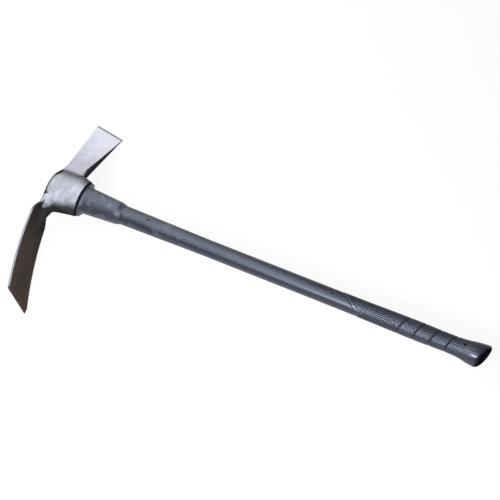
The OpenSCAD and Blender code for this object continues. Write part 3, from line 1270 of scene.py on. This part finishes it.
@dataclass
class HandleLine:
    """Places along the handle that its pieces share, in millimetres and degrees.

    The locating holes' spread and room are half angles round the handle, in radians.
    """

    eye: TaperedEye
    tool_length: float = 914.0
    core_d: float = 22.0
    butt_wall: float = 12.0
    flange_gap: float = 2.6
    collar_length: float = 89.0
    jacket_tuck: float = 30.0
    shaft_d: float = 33.2
    shaft_root_d: float = 38.4
    shaft_taper_length: float = 180.0
    grip_length: float = 268.0
    grip_start_angle: float = 51.0
    grip_seat_wall: float = 2.4
    pin_holes: Tuple[float, float, float] = (221.0, 613.0, 876.0)
    pin_hole_d: float = 3.4
    pin_hole_angle: float = 8.0
    pin_hole_rim_shares: Span = (1.15, 0.9)
    pin_hole_round: float = 0.35
    pin_hole_wall: float = 0.6
    pin_hole_reach: float = 3.0
    pin_hole_spread: float = 0.17
    pin_hole_room: float = 0.19
    pin_hole_sides: int = 15
    close: float = 0.4

    @property
    def flange_x(self) -> float:
        """Where the gap between the eye and the collar's flange ends."""
        return self.eye.length + self.flange_gap

    @property
    def collar_end(self) -> float:
        """Where the collar ends on the shaft."""
        return self.flange_x + self.collar_length

    @property
    def jacket_start(self) -> float:
        """Where the jacket begins inside the collar."""
        return self.collar_end - self.jacket_tuck

    @property
    def straight_x(self) -> float:
        """Where the shaft's taper ends."""
        return self.collar_end + self.shaft_taper_length

    @property
    def grip_start(self) -> float:
        """Where the grip's slanted start crosses the axis."""
        return self.tool_length - self.grip_length

    @property
    def core_end(self) -> float:
        """Where the core ends inside the butt."""
        return self.tool_length - self.butt_wall

    @property
    def seat_r(self) -> float:
        """Radius of the jacket under the grip."""
        return self.core_d / 2 + self.grip_seat_wall

    @property
    def start_lean(self) -> float:
        """Shift along X for each millimetre of Y on the grip's slanted start."""
        return -math.tan(math.radians(self.grip_start_angle))

    @property
    def start_stretch(self) -> float:
        """Length along X for each millimetre square to the grip's slanted start."""
        return math.hypot(1.0, self.start_lean)

    @property
    def pin_hole_turn(self) -> float:
        """Angle of the upper holes round the handle, in radians."""
        return math.radians(90.0 - self.pin_hole_angle)

    def turns(self, sides: int) -> Array:
        """Angles round the handle, closer together around the locating holes.

        Args:
            sides: Number of even steps.

        Returns:
            Rising angles from 0 to a full turn, in radians.
        """
        hole = self.pin_hole_turn
        near = np.linspace(-self.pin_hole_spread, self.pin_hole_spread, self.pin_hole_sides)
        even = np.linspace(0.0, 2 * math.pi, sides, endpoint=False)
        clear = np.all([np.abs(even - hole - k * math.pi) > self.pin_hole_room for k in (0, 1)], axis=0)
        return np.sort(np.concatenate([even[clear], hole + near, hole + math.pi + near]))

    def hole_depth(self, x: Array, turn: Array, radius: Array) -> Array:
        """Share of the way to the core that the locating holes take away.

        Args:
            x: Places along the handle.
            turn: Angles round the handle.
            radius: Radius of the surface.

        Returns:
            0 on the surface and 1 down in a hole.
        """
        off = np.abs((turn - self.pin_hole_turn + math.pi / 2) % math.pi - math.pi / 2) * radius
        nearest = np.min([np.abs(x - place) for place in self.pin_holes], axis=0)
        past = np.hypot(nearest, off) - self.pin_hole_d / 2 + self.pin_hole_round
        return 1.0 - ease(past / self.pin_hole_wall)

    def stations(self, start: float, end: float, step: float) -> Array:
        """Places along the handle, closer together at the locating holes.

        Args:
            start: First place.
            end: Last place.
            step: Usual distance.

        Returns:
            Rising places.
        """
        close, reach = self.close, self.pin_hole_reach
        even = np.linspace(start, end, max(2, int(round((end - start) / step)) + 1))
        extra = [np.arange(-reach, reach, close) + place for place in self.pin_holes]
        extra = np.concatenate([e[(e > start + close) & (e < end - close)] for e in extra])
        clear = even[[not extra.size or np.abs(extra - e).min() > close for e in even]]
        return np.sort(np.concatenate([clear, extra]))


def ring(x: Values, half_w: Values, half_t: Values, turn: Array, lean: float = 0.0) -> Array:
    """Points of one ring across the handle.

    Args:
        x: Place of its middle.
        half_w: Half size along Y.
        half_t: Half size along Z.
        turn: Angles round the handle.
        lean: Shift along X for each millimetre of Y.

    Returns:
        The points, in millimetres.
    """
    y, z = half_w * np.cos(turn), half_t * np.sin(turn)
    return np.stack([x + lean * y, y, z], axis=1)


@dataclass
class MouldedCollar:
    """The tang that fills the eye, its flange, and the cone that ends in a step, in millimetres."""

    line: HandleLine
    finish: MouldedPlastic
    piece: Piece = Piece("moulded_collar", "eye_collar", Slot.COLLAR)
    flange_w: float = 72.6
    flange_t: float = 48.8
    flange_edge: float = 2.6
    flange_fillet: float = 8.5
    flange_round: float = 0.9
    shadow_gap: float = 1.7
    cone_w: float = 54.5
    cone_t: float = 47.0
    cone_end_d: float = 45.2
    step: float = 11.5
    step_ease_share: float = 0.45
    lip: float = 0.25
    sides: int = 128
    round_rings: int = 6
    fillet_rings: int = 12
    cone_rings: int = 20
    step_rings: int = 14

    @property
    def turn(self) -> Array:
        """Even angles round the handle, in radians."""
        return np.linspace(0, 2 * math.pi, self.sides, endpoint=False)

    def tang_and_flange(self) -> List[Array]:
        """Rings of the tang, of the flange's round edge and of the fillet below it.

        Returns:
            The rings, from the tang's end to the top of the cone.
        """
        turn, x0 = self.turn, self.line.flange_x
        edge_x, fillet_x = x0 + self.shadow_gap, x0 + self.flange_edge
        half_w, half_t = self.flange_w / 2, self.flange_t / 2
        rings = [ring(x, *self.line.eye.tang(x), turn) for x in (0.0, x0 / 2, edge_x)]
        for a in quarter(self.round_rings):
            inset = self.flange_round * (1 - math.sin(a))
            x = edge_x + self.flange_round * (1 - math.cos(a))
            rings.append(ring(x, half_w - inset, half_t - inset, turn))
        for a in quarter(self.fillet_rings):
            x, fall = fillet_x + self.flange_fillet * (1 - math.cos(a)), math.sin(a)
            w, t = between(half_w, self.cone_w / 2, fall), between(half_t, self.cone_t / 2, fall)
            rings.append(ring(x, w, t, turn))
        return rings

    def cone_and_step(self) -> List[Array]:
        """Rings of the cone and of the step where it ends.

        Returns:
            The rings, from below the flange to the lip.
        """
        line, turn = self.line, self.turn
        cone_x = line.flange_x + self.flange_edge + self.flange_fillet
        step_x = line.collar_end - self.step
        end_r, lip_r = self.cone_end_d / 2, line.shaft_root_d / 2 + self.lip
        rings = []
        for u in np.linspace(0, 1, self.cone_rings)[1:]:
            w, t = (between(size / 2, end_r, u) for size in (self.cone_w, self.cone_t))
            rings.append(ring(between(cone_x, step_x, u), w, t, turn))
        for u in np.linspace(0, 1, self.step_rings)[1:]:
            fall = (1.0 - self.step_ease_share) * u + self.step_ease_share * ease(u)
            radius = between(end_r, lip_r, fall)
            rings.append(ring(between(step_x, line.collar_end, u), radius, radius, turn))
        return rings

    def inside(self) -> List[Array]:
        """Rings of the inside, from the lip back to the tang's end.

        Returns:
            The rings.
        """
        line, root, core = self.line, self.line.shaft_root_d / 2, self.line.core_d / 2
        places = ((line.collar_end, root), (line.jacket_start, root), (line.jacket_start, core), (0.0, core))
        return [ring(x, r, r, self.turn) for x, r in places]

    def build(self) -> bpy.types.Object:
        """Makes the collar."""
        skin = RingSkin(self.tang_and_flange() + self.cone_and_step() + self.inside()).mesh()
        return self.piece.write(skin, self.finish.material(self.line))


@dataclass
class ShaftJacket:
    """The plastic tube round the core, from inside the collar to the core's end, in millimetres."""

    line: HandleLine
    finish: MouldedPlastic
    piece: Piece = Piece("shaft_jacket_skin", "shaft_jacket", Slot.JACKET)
    tuck: float = 1.0
    lean_length: float = 60.0
    seam: float = 1.0
    seam_from: float = 3.2
    seam_room: float = 4.0
    seam_rings: int = 9
    hole_floor: float = 0.3
    sides: int = 96
    step: float = 3.0

    def radius(self, x: Array) -> Array:
        """Outside radius at x."""
        line = self.line
        share = np.clip((x - line.collar_end) / (line.straight_x - line.collar_end), 0.0, 1.0)
        return between(line.shaft_root_d, line.shaft_d, share) / 2

    def one_ring(self, place: float, turn: Array) -> Array:
        """Points of the outside's ring at a place, slanting more and more towards the grip.

        Args:
            place: Where the ring crosses the axis.
            turn: Angles round the handle.

        Returns:
            The points, in millimetres.
        """
        line = self.line
        leaning = (place - line.grip_start + self.lean_length) / self.lean_length
        x = place + line.start_lean * ease(leaning) * (line.shaft_d / 2) * np.cos(turn)
        to_end = (line.grip_start - place) / line.start_stretch
        radius = self.radius(x) - self.seam * max(0.0, 1.0 - to_end / self.seam) ** 2
        sunk = line.hole_depth(x, turn, radius)
        radius = between(radius, line.core_d / 2 + self.hole_floor, sunk)
        return ring(x, radius, radius, turn)

    def outside(self, turn: Array) -> List[Array]:
        """Rings of the outside, from inside the collar to the slanted end.

        Args:
            turn: Angles round the handle.

        Returns:
            The rings.
        """
        line, root = self.line, self.line.shaft_root_d / 2
        places = [*line.stations(line.collar_end - self.tuck, line.grip_start - self.seam_room, self.step)]
        places += [*(line.grip_start - np.linspace(self.seam_from, 0.0, self.seam_rings))]
        return [ring(line.jacket_start, root, root, turn)] + [self.one_ring(p, turn) for p in places]

    def inside(self, turn: Array) -> List[Array]:
        """Rings of the seat under the grip and of the bore, back to the start.

        Args:
            turn: Angles round the handle.

        Returns:
            The rings.
        """
        line, core = self.line, self.line.core_d / 2
        seat = ring(line.grip_start, line.seat_r, line.seat_r, turn, line.start_lean)
        ends = ((line.core_end, line.seat_r), (line.core_end, core), (line.jacket_start, core))
        return [seat] + [ring(x, r, r, turn) for x, r in ends]

    def build(self) -> bpy.types.Object:
        """Makes the jacket."""
        turn = self.line.turns(self.sides)
        skin = RingSkin(self.outside(turn) + self.inside(turn)).mesh()
        return self.piece.write(skin, self.finish.material(self.line))


@dataclass
class KnurledGrip:
    """The soft grip: slanted start, knurl, slanted grooves and flared butt, in millimetres and degrees."""

    line: HandleLine
    finish: GripRubber
    piece: Piece = Piece("knurled_grip", "grip_sleeve", Slot.GRIP)
    swell_d: float = 35.8
    waist_d: float = 34.2
    swell_share: float = 0.52
    waist_share: float = 0.70
    butt_d: float = 46.9
    flare_length: float = 76.0
    flare_full_share: float = 0.94
    butt_slant: float = 19.0
    butt_edge_r: float = 6.5
    butt_face_shares: Tuple[float, float, float] = (0.92, 0.6, 0.25)
    butt_rings: int = 14
    groove_w: float = 2.0
    groove_wall_share: float = 0.35
    groove_room_share: float = 0.7
    groove_depth: float = 0.8
    groove_angle: float = 25.5
    groove_pitch: float = 31.0
    groove_setback: float = 64.2
    groove_count: int = 4
    groove_lead: float = 12.0
    lip_w: float = 2.0
    lip_h: float = 0.45
    lip_fall: float = 6.0
    lip_fall_share: float = 0.8
    seam: float = 1.2
    seam_depth_share: float = 0.75
    seam_to: float = 3.2
    seam_room: float = 3.8
    seam_rings: int = 12
    knurl_pitch: float = 3.87
    knurl_round: int = 28
    knurl_h: float = 0.45
    knurl_sink_share: float = 0.3
    dot_share: float = 0.45
    dot_edge_share: float = 0.11
    knurl_by_groove: float = 1.2
    knurl_by_lip: float = 2.5
    knurl_end: float = 13.0
    knurl_end_fade: float = 10.0
    hole_floor: float = 0.4
    settling: int = 6
    sides: int = 180
    step: float = 0.6

    @property
    def groove_lean(self) -> float:
        """Shift along X for each millimetre of Y in the grooves."""
        return math.tan(math.radians(self.groove_angle))

    @property
    def butt_lean(self) -> float:
        """Shift along X for each millimetre of Y on the butt's end."""
        return math.tan(math.radians(self.butt_slant))

    @property
    def last_groove(self) -> float:
        """Where the groove next to the butt crosses the axis."""
        return self.line.tool_length - self.groove_setback

    def flare(self, s: Array) -> Array:
        """Share of the flare's length that lies before station s."""
        return (s - (self.line.tool_length - self.flare_length)) / self.flare_length

    def plain_radius(self, s: Array) -> Array:
        """Radius of the grip without knurl and grooves.

        Args:
            s: Stations along the grip.

        Returns:
            The radii.
        """
        line, edge_r = self.line, self.butt_edge_r
        u = (s - line.grip_start) / line.grip_length
        swell = ease(u / self.swell_share)
        waist = ease((u - self.swell_share) / (self.waist_share - self.swell_share))
        body = between(between(line.shaft_d, self.swell_d, swell), self.waist_d, waist) / 2
        flare = ease(self.flare(s) / self.flare_full_share) ** 2
        sunk = np.clip(edge_r - (line.tool_length - s), 0.0, edge_r)
        edge = edge_r - np.sqrt(edge_r ** 2 - sunk ** 2)
        return between(body, self.butt_d / 2, flare) - edge

    def relief(self, x: Array, y: Array, turn: Array, s: Array) -> Array:
        """Height of lip, knurl and grooves above the plain surface.

        Args:
            x: Places along the handle.
            y: Places along Y.
            turn: Angles round the handle.
            s: Stations along the grip.

        Returns:
            The height, in millimetres.
        """
        line = self.line
        from_start = (x - line.grip_start - line.start_lean * y) / line.start_stretch
        along = x - self.groove_lean * y - self.last_groove
        places = [-i * self.groove_pitch for i in range(self.groove_count)]
        off = np.min([np.abs(along - place) for place in places], axis=0)
        off = off * math.cos(math.radians(self.groove_angle))
        wall = self.groove_wall_share * self.groove_w
        groove = 1.0 - ease((off - wall) / wall)
        a = (along / self.knurl_pitch) % 1.0 - 0.5
        b = (turn * self.knurl_round / (2 * math.pi)) % 1.0 - 0.5
        dot = ease((self.dot_share - np.hypot(a, b)) / self.dot_edge_share)
        clear = ease((off - self.groove_w * self.groove_room_share) / self.knurl_by_groove)
        clear = clear * ease((from_start - self.lip_w) / self.knurl_by_lip)
        clear = clear * ease((line.tool_length - self.knurl_end - s) / self.knurl_end_fade)
        lip = self.lip_h * (1.0 - self.lip_fall_share * ease((from_start - self.lip_w) / self.lip_fall))
        seam = 1.0 - np.sqrt(np.clip(from_start / self.seam, 0.0, 1.0))
        sink = (lip + self.seam * self.seam_depth_share) * seam
        knurl = self.knurl_h * clear * (dot - self.knurl_sink_share)
        return lip - sink + knurl - self.groove_depth * groove

    def lean(self, place: float) -> float:
        """Lean of the mesh's ring: along the start, then the grooves, then the butt.

        Args:
            place: Where the ring crosses the axis.

        Returns:
            Shift along X for each millimetre of Y.
        """
        line, last = self.line, self.last_groove
        first = last - (self.groove_count - 1) * self.groove_pitch - self.groove_lead
        start = ease((place - line.grip_start) / (first - line.grip_start))
        end = ease((place - last) / (line.tool_length - last))
        return between(between(line.start_lean, self.groove_lean, start), self.butt_lean, end)

    def one_ring(self, place: float, turn: Array) -> Array:
        """Points of the outside's ring at a place along the axis.

        Args:
            place: Where the ring crosses the axis.
            turn: Angles round the handle.

        Returns:
            The points, in millimetres.
        """
        lean, line = self.lean(place), self.line
        radius = np.full(turn.shape, self.waist_d / 2)
        s = np.full(turn.shape, place)
        for _ in range(self.settling):
            y = radius * np.cos(turn)
            x = place + lean * y
            s = np.minimum(x - y * self.butt_lean * ease(self.flare(s)), line.tool_length)
            radius = self.plain_radius(s)
        radius = radius + self.relief(x, y, turn, s)
        radius = between(radius, line.seat_r + self.hole_floor, line.hole_depth(x, turn, radius))
        return ring(x, radius, radius, turn)

    def build(self) -> bpy.types.Object:
        """Makes the grip: the bore, the outside and the butt's end.

        Returns:
            The piece.
        """
        line, start, end = self.line, self.line.grip_start, self.line.tool_length
        turn, seat = line.turns(self.sides), line.seat_r
        bore = [ring(line.core_end, seat, seat, turn), ring(start, seat, seat, turn, line.start_lean)]
        edge = end - self.butt_edge_r
        places = [*(start + np.linspace(0.0, self.seam_to, self.seam_rings))]
        places += [*line.stations(start + self.seam_room, edge, self.step)]
        places += [edge + self.butt_edge_r * math.sin(a) for a in quarter(self.butt_rings)[1:]]
        outside = [self.one_ring(place, turn) for place in places]
        flats = [share * (self.butt_d / 2 - self.butt_edge_r) for share in self.butt_face_shares]
        face = [ring(end, flat, flat, turn, self.butt_lean) for flat in flats]
        poles = (np.array([line.core_end, 0.0, 0.0]), np.array([end, 0.0, 0.0]))
        skin = RingSkin(bore + outside + face, poles).mesh()
        return self.piece.write(skin, self.finish.material(self))


@dataclass(frozen=True)
class SoftLamp:
    """A soft rectangular lamp that the camera does not see, in metres and watts.

    It hangs at place, faces aim as squarely as the run of its long side lets it, and has its size along
    and across that run.
    """

    name: str
    place: Point
    aim: Point
    run: Point
    size: Span
    power: float

    def hang(self) -> bpy.types.Object:
        """Hangs the lamp.

        Returns:
            The lamp.
        """
        data = bpy.data.lights.new(self.name, "AREA")
        data.shape = "RECTANGLE"
        data.size, data.size_y = self.size
        data.energy = self.power
        light = put(self.name, data)
        light.visible_camera = False
        along = Vector(self.run).normalized()
        back = Vector(self.place) - Vector(self.aim)
        back = (back - along * back.dot(along)).normalized()
        turn = Matrix((along, back.cross(along), back)).transposed().to_4x4()
        light.matrix_world = Matrix.Translation(self.place) @ turn
        return light


class Lamp(Enum):
    """The studio's lamps."""

    STRIP = SoftLamp(
        "strip_softbox", (0.015, 0.053, 1.077), (0.30, 0.0, 0.0), (0.42, -1.08, -0.25), (2.4, 0.65), 24.0
    )
    GRIP = SoftLamp("grip_strip", (0.64, -0.53, 0.60), (0.80, 0.0, 0.0), (1.0, 0.0, 0.0), (0.40, 0.2), 6.4)
    BACK = SoftLamp("back_softbox", (-0.55, 1.30, 0.75), (0.10, 0.0, 0.0), (1.0, 0.0, 0.0), (1.0, 0.9), 9.0)
    FILL = SoftLamp("end_fill", (2.4, -0.2, 0.5), (0.0, -0.10, 0.0), (0.0, 1.0, 0.0), (1.2, 1.0), 4.5)


@dataclass
class Studio:
    """Floor, lamps, sky and the camera at the picture's angle, in metres; lens and sensor in millimetres."""

    lens: float = 108.0
    sensor: float = 36.0
    clip: Span = (0.05, 200.0)
    eye_point: Point = (1.24637, -0.95526, 2.55192)
    right: Point = (0.89196, 0.43625, -0.11868)
    up: Point = (-0.34903, 0.83131, 0.43255)
    back: Point = (0.28736, -0.3444, 0.89376)
    floor_size: float = 60.0
    floor_gap: float = 0.0006
    floor_shade: float = 0.8
    floor_glow: float = 0.88
    sky: float = 0.05
    white: Tuple[float, float, float, float] = (1.0, 1.0, 1.0, 1.0)

    def camera(self) -> bpy.types.Object:
        """Puts the camera at the picture's angle.

        Returns:
            The camera.
        """
        data = bpy.data.cameras.new("camera")
        data.lens = self.lens
        data.sensor_width = self.sensor
        data.clip_start, data.clip_end = self.clip
        camera = put("camera", data)
        turn = Matrix((self.right, self.up, self.back)).transposed().to_4x4()
        camera.matrix_world = Matrix.Translation(self.eye_point) @ turn
        bpy.context.scene.camera = camera
        return camera

    @staticmethod
    def lamps() -> List[bpy.types.Object]:
        """Hangs the soft lamps."""
        return [lamp.value.hang() for lamp in Lamp]

    @staticmethod
    def seen(sheet: ShaderSheet) -> Wire:
        """Tells the rays that show a picture from those that light it.

        Args:
            sheet: The material's sheet.

        Returns:
            1 for rays from the camera, from mirrors and through glass, and 0 for the rest.
        """
        path = sheet.node("ShaderNodeLightPath", {}, {}, "Is Camera Ray")
        outs = path.socket.node.outputs
        glossy, through = (Wire(sheet, outs[n]) for n in ("Is Glossy Ray", "Is Transmission Ray"))
        return (path + glossy + through).at_most(1.0)

    def floor(self, low_z: float) -> bpy.types.Object:
        """Lays the pale floor under the part.

        Args:
            low_z: Lowest point of the part.

        Returns:
            The floor.
        """
        half, z = self.floor_size / 2, low_z - self.floor_gap
        points = [(-half, -half, z), (half, -half, z), (half, half, z), (-half, half, z)]
        mesh = bpy.data.meshes.new("floor")
        mesh.from_pydata(points, [], [(0, 1, 2, 3)])
        sheet = ShaderSheet("pale_floor")
        paper = sheet.node("ShaderNodeBsdfDiffuse", {}, {"Color": (*(self.floor_shade,) * 3, 1.0)})
        glow = sheet.node("ShaderNodeEmission", {}, {"Color": self.white, "Strength": 1.0})
        mesh.materials.append(sheet.output(sheet.layered(self.seen(sheet) * self.floor_glow, paper, glow)))
        floor = put("floor", mesh)
        floor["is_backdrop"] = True
        return floor

    def sky_light(self) -> bpy.types.World:
        """Gives the scene an even, dim sky.

        Returns:
            The world.
        """
        world = bpy.data.worlds.new("sky")
        bpy.context.scene.world = world
        world.use_nodes = True
        tree = world.node_tree
        tree.nodes.clear()
        sky = tree.nodes.new("ShaderNodeBackground")
        sky.inputs["Color"].default_value = self.white
        sky.inputs["Strength"].default_value = self.sky
        out = tree.nodes.new("ShaderNodeOutputWorld")
        tree.links.new(sky.outputs[0], out.inputs["Surface"])
        return world


def corners(box: Tuple[Vector, Vector]) -> List[List[float]]:
    """A box's corners as plain lists."""
    return [[float(v) for v in corner] for corner in box]


def main() -> None:
    """Builds the part's pieces and the studio round it."""
    logging.basicConfig(level=logging.INFO, format="%(name)s: %(message)s")
    cad_box = corners(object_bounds())
    bpy.context.scene.view_settings.view_transform = "Standard"
    eye = TaperedEye()
    line = HandleLine(eye)
    collar_plastic = MouldedPlastic(
        "collar_plastic", shade=(0.027, 0.030, 0.044), scuff=(0.19, 0.20, 0.24),
        scuffed_from=0.085, scuffed_to=0.165, scuffs=0.7,
    )
    jacket_plastic = MouldedPlastic(
        "jacket_plastic", shade=(0.018, 0.020, 0.031), scuff=(0.12, 0.13, 0.17),
        scuffed_from=0.15, scuffed_to=0.33, scuffs=0.55,
    )
    glass_fibre = CutFibre("glass_fibre", resin=(0.50, 0.42, 0.22), strand=(0.68, 0.62, 0.44), gloss=0.4)
    # The bond's resin is near black: painted shade, so that its end in the gap between the eye and the
    # flange reads as shadow.
    shaded_resin = CutFibre("resin", resin=(0.030, 0.028, 0.025), strand=(0.07, 0.065, 0.055), gloss=0.3)
    pieces = [
        ForgedHead(eye, AxeBlade(), AdzeBlade(eye.adze_cheek), ForgedSteel()).build(),
        MouldedCollar(line, collar_plastic).build(),
        ShaftJacket(line, jacket_plastic).build(),
        KnurledGrip(line, GripRubber(ButtRubber())).build(),
        dress("fibreglass_core", glass_fibre.material()),
        dress("eye_bond", shaded_resin.material()),
    ]
    for piece in pieces:
        LOG.info("%s: %d points, %d faces", piece.name, len(piece.data.vertices), len(piece.data.polygons))
    studio = Studio()
    studio.camera()
    studio.lamps()
    studio.floor(cad_box[0][UP])
    studio.sky_light()


if __name__ == "__main__":
    main()
